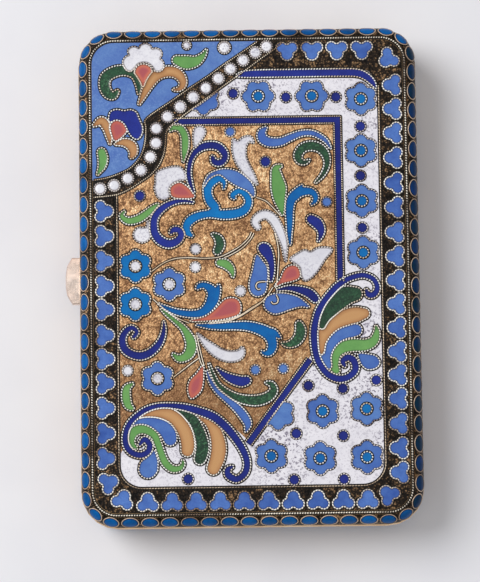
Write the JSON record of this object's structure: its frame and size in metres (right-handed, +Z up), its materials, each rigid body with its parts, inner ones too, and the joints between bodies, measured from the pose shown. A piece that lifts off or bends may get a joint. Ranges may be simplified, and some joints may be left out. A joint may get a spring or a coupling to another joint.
{
  "type": "cigarette case",
  "caption": "Flat hinged enamelled cigarette case with rounded shoulders, filigree enamel ornament and a sliding thumb catch on one long side.",
  "frame": {"origin": "centre of the underside, on the flat face of the medallion that the closed case lies on", "axes": "+Z up through the lid, +Y along the case, +X towards the hinge and -X towards the thumb catch"},
  "size_m": [0.0785, 0.1102, 0.0179],
  "materials": {
    "gilt": "polished",
    "satin_gilt": "satin",
    "stippled_gilt": "stippled",
    "rose_gilt": "satin",
    "spring_steel": "satin",
    "oval_blue_enamel": "gloss",
    "sky_blue_enamel": "gloss",
    "royal_blue_enamel": "gloss",
    "white_enamel": "gloss"
  },
  "bodies": {
    "base": {"base_edge_band_lower": "gilt", "base_edge_band_upper": "gilt", "base_hinge_channel": "satin_gilt", "base_inner_rim_lower": "satin_gilt", "base_inner_rim_upper": "satin_gilt", "base_knuckle_1": "satin_gilt", "base_knuckle_2": "satin_gilt", "base_knuckle_3": "satin_gilt", "base_knuckle_4": "satin_gilt", "base_knuckle_5": "satin_gilt", "base_medallion": "white_enamel", "base_oval_border": "oval_blue_enamel", "base_panel_line": "gilt", "base_rope_border": "gilt", "base_scroll_panel": "stippled_gilt", "base_shell": "satin_gilt", "base_trefoil_border": "stippled_gilt", "hinge_cap_lower": "gilt", "hinge_cap_upper": "gilt", "hinge_pin": "spring_steel", "latch_rivet_lower": "satin_gilt", "latch_rivet_upper": "satin_gilt", "latch_spring": "spring_steel"},
    "lid": {"lid_catch_keeper": "satin_gilt", "lid_corner_panel": "sky_blue_enamel", "lid_diagonal_line": "royal_blue_enamel", "lid_edge_band": "gilt", "lid_field_frame": "royal_blue_enamel", "lid_hinge_channel": "satin_gilt", "lid_knuckle_1": "satin_gilt", "lid_knuckle_2": "satin_gilt", "lid_knuckle_3": "satin_gilt", "lid_knuckle_4": "satin_gilt", "lid_oval_border": "oval_blue_enamel", "lid_panel_line": "gilt", "lid_pearl_band": "white_enamel", "lid_rope_border": "gilt", "lid_scroll_lower": "royal_blue_enamel", "lid_scroll_panel": "stippled_gilt", "lid_scroll_right": "royal_blue_enamel", "lid_shell": "satin_gilt", "lid_star_panel_lower": "white_enamel", "lid_star_panel_upper": "white_enamel", "lid_top_band": "royal_blue_enamel", "lid_trefoil_border": "stippled_gilt"},
    "catch": {"thumb_piece": "rose_gilt", "thumb_stem": "satin_gilt", "catch_hook": "satin_gilt"}
  },
  "joints": [
    {"name": "lid_hinge", "type": "hinge", "parent": "base", "child": "lid", "pos_m": [0.0362, 0, 0.00875], "axis": [0, 1, 0], "range_deg": [0, 110]},
    {"name": "catch_slide", "type": "slide", "parent": "base", "child": "catch", "axis": [1, 0, 0], "range_m": [-0.00055, 0.00035], "stiffness_N_per_m": 400, "springref_m": -0.00055, "deforming": ["latch_spring"]}
  ]
}
